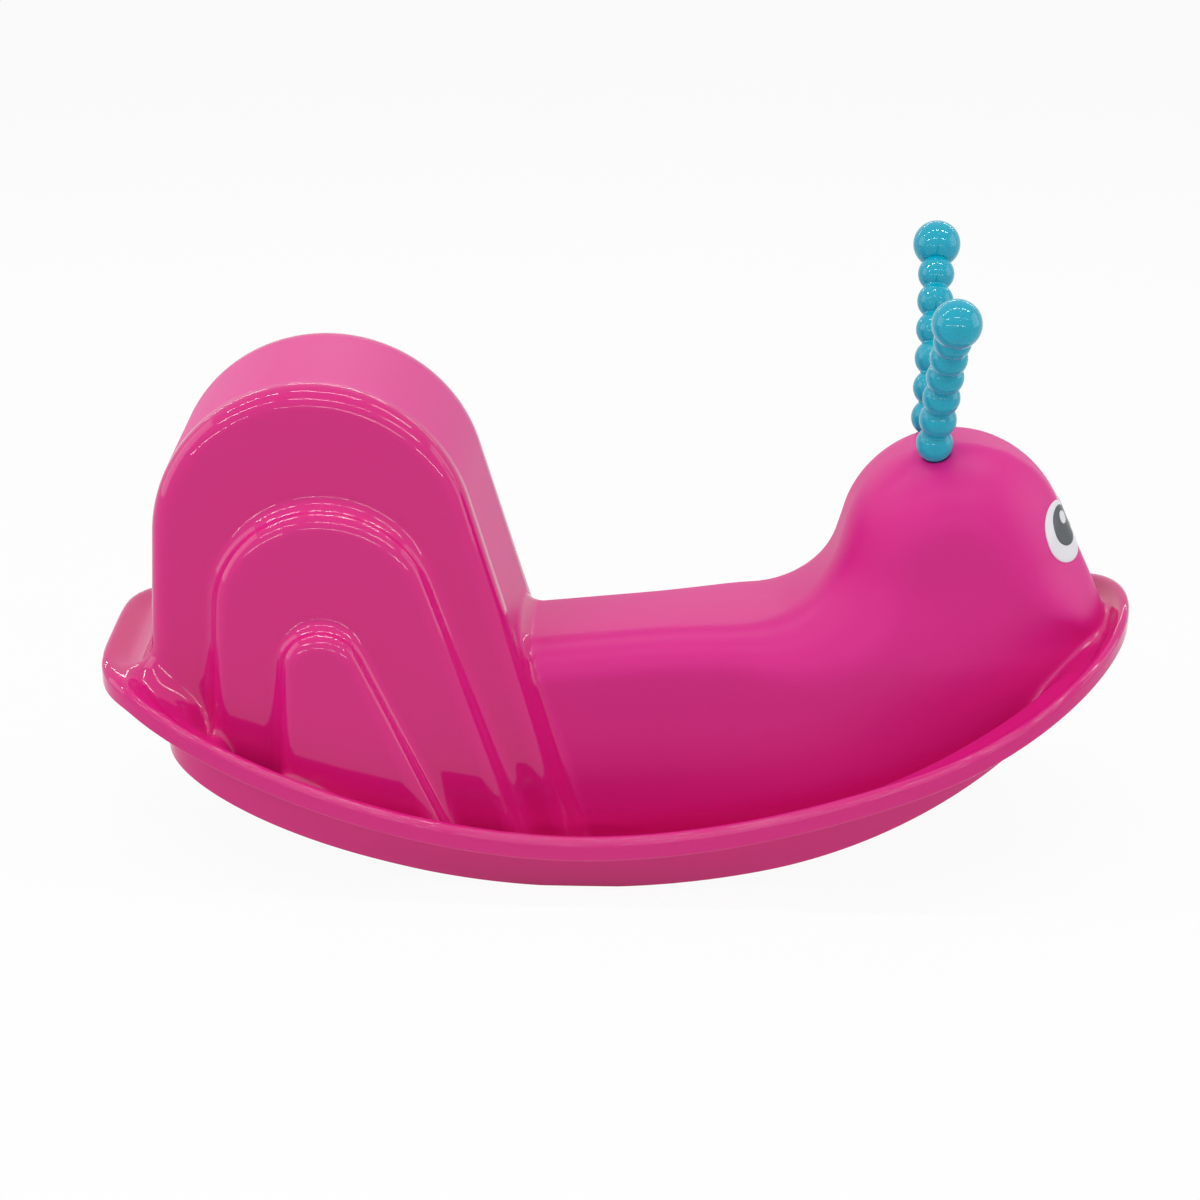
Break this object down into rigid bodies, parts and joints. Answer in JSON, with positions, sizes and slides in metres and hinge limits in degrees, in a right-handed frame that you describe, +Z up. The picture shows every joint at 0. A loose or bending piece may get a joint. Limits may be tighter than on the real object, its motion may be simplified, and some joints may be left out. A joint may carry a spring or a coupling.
{
  "type": "toddler rocking seesaw",
  "caption": "One-child rocker: a thin moulded tray on a curved keel with a humped backrest, a seat, a rounded head, bead-stalk handles and round eye discs.",
  "frame": {"origin": "centre of the footprint, on the floor that the rocker's lowest flats stand on", "axes": "+X towards the head, +Z up, +Y to the rider's left"},
  "size_m": [0.97, 0.385, 0.5661],
  "materials": {
    "pink_polypropylene": "glossy mould finish, fine matt texture on the shell's top, seat and head",
    "teal_polypropylene": "glossy mould finish",
    "white_vinyl": "satin label",
    "dark_grey_vinyl": "satin label",
    "zinc_plated_steel": "zinc plated"
  },
  "bodies": {
    "root": {"body_shell": "pink_polypropylene", "handle_left_front_half": "teal_polypropylene", "handle_left_rear_half": "teal_polypropylene", "handle_left_washer": "zinc_plated_steel", "handle_left_screw": "zinc_plated_steel", "handle_right_front_half": "teal_polypropylene", "handle_right_rear_half": "teal_polypropylene", "handle_right_washer": "zinc_plated_steel", "handle_right_screw": "zinc_plated_steel", "eye_left": "white_vinyl", "pupil_left": "dark_grey_vinyl", "glint_left": "white_vinyl", "eye_right": "white_vinyl", "pupil_right": "dark_grey_vinyl", "glint_right": "white_vinyl"}
  },
  "joints": []
}
